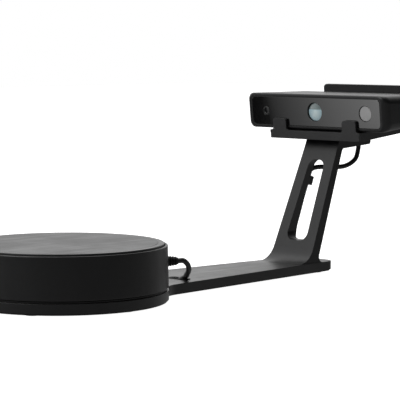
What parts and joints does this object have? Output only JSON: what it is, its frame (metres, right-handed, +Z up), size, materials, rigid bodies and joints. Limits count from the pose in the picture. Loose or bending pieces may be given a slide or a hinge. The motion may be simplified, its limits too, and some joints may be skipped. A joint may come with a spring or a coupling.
{
  "type": "desktop 3d scanner",
  "caption": "Desktop 3D scanner: round motor-driven turntable on a flat arm, leaning slotted column and a cradle with a wide projector and camera head.",
  "frame": {"origin": "middle of the whole object's underside, on the table", "axes": "+X from the turntable towards the scanner head, +Z up, X-Z the middle plane"},
  "size_m": [0.5812, 0.21, 0.208],
  "materials": {
    "black_cast": "satin fine-texture black paint",
    "black_sheet": "satin black paint",
    "black_steel": "matt black paint",
    "drum_plastic": "satin moulded black",
    "head_plastic": "satin moulded black",
    "rubber": "matt",
    "cable_jacket": "satin",
    "clip_plastic": "satin",
    "steel": "machined",
    "frame_metal": "milled",
    "gear_plastic": "moulded",
    "brass": "machined",
    "turntable_paint": "satin",
    "turntable_mat": "satin rubber",
    "motor_black": "black",
    "board_green": "solder mask",
    "window_gloss": "gloss",
    "projector_glass": "coated glass",
    "left_camera_glass": "gloss",
    "right_camera_glass": "satin glass",
    "fan_plastic": "moulded",
    "jack_plastic": "moulded",
    "button_plastic": "satin",
    "light_lens": "translucent"
  },
  "bodies": {
    "stand_and_head": {"base_casting": "black_cast", "underside_cover": "black_steel", "rubber_feet": "rubber", "cover_screws": "steel", "drum_housing": "drum_plastic", "drum_screws": "steel", "drive_frame": "frame_metal", "frame_screws": "steel", "bearing_outer_ring": "steel", "stepper_motor": "motor_black", "motor_screws": "steel", "control_board": "board_green", "board_standoffs": "brass", "home_sensor": "board_green", "drum_cable_sleeve": "rubber", "arm_cable_grommet": "rubber", "foot_cable_grommet": "rubber", "head_cable": "cable_jacket", "cable_clip": "clip_plastic", "cradle": "black_sheet", "cradle_screws": "steel", "cradle_strips": "rubber", "cradle_cable_grommet": "rubber", "head_housing": "head_plastic", "head_rear_cover": "head_plastic", "head_cover_screws": "steel", "head_fixing_screws": "steel", "front_window": "window_gloss", "projector_lens": "projector_glass", "projector_unit": "motor_black", "left_camera": "left_camera_glass", "right_camera": "right_camera_glass", "optics_bench": "frame_metal", "bench_screws": "steel", "main_board": "board_green", "heat_sink": "frame_metal", "fan_frame": "fan_plastic", "usb_port": "steel", "power_jack": "jack_plastic", "status_light": "light_lens", "head_cable_plug": "rubber"},
    "turntable": {"bearing_balls": "steel", "bearing_inner_ring": "steel", "bearing_spacer": "steel", "spindle": "steel", "spindle_washer": "steel", "spindle_screw": "steel", "driven_gear": "gear_plastic", "index_magnet": "steel", "turntable_plate": "turntable_paint", "plate_screws": "steel", "turntable_mat": "turntable_mat"},
    "pinion": {"motor_shaft": "steel", "motor_pinion": "brass"},
    "fan_rotor": {"fan_rotor": "fan_plastic"},
    "power_button": {"power_button": "button_plastic"}
  },
  "joints": [
    {"name": "turntable_spin", "type": "hinge", "parent": "stand_and_head", "child": "turntable", "pos_m": [-0.18559, 0, 0.03], "axis": [0, 0, 1], "continuous": true},
    {"name": "pinion_spin", "type": "hinge", "parent": "stand_and_head", "child": "pinion", "pos_m": [-0.24184, 0, 0.03], "axis": [0, 0, 1], "continuous": true},
    {"name": "fan_spin", "type": "hinge", "parent": "stand_and_head", "child": "fan_rotor", "pos_m": [0.27734, 0.084, 0.18282], "axis": [0.9945, 0, 0.1045], "continuous": true},
    {"name": "power_button_press", "type": "slide", "parent": "stand_and_head", "child": "power_button", "axis": [-0.9945, 0, -0.1045], "range_m": [0, 0.0012], "stiffness_N_per_m": 400}
  ],
  "couplings": [
    {"joint": "pinion_spin", "follows": "turntable_spin", "ratio": -4}
  ]
}
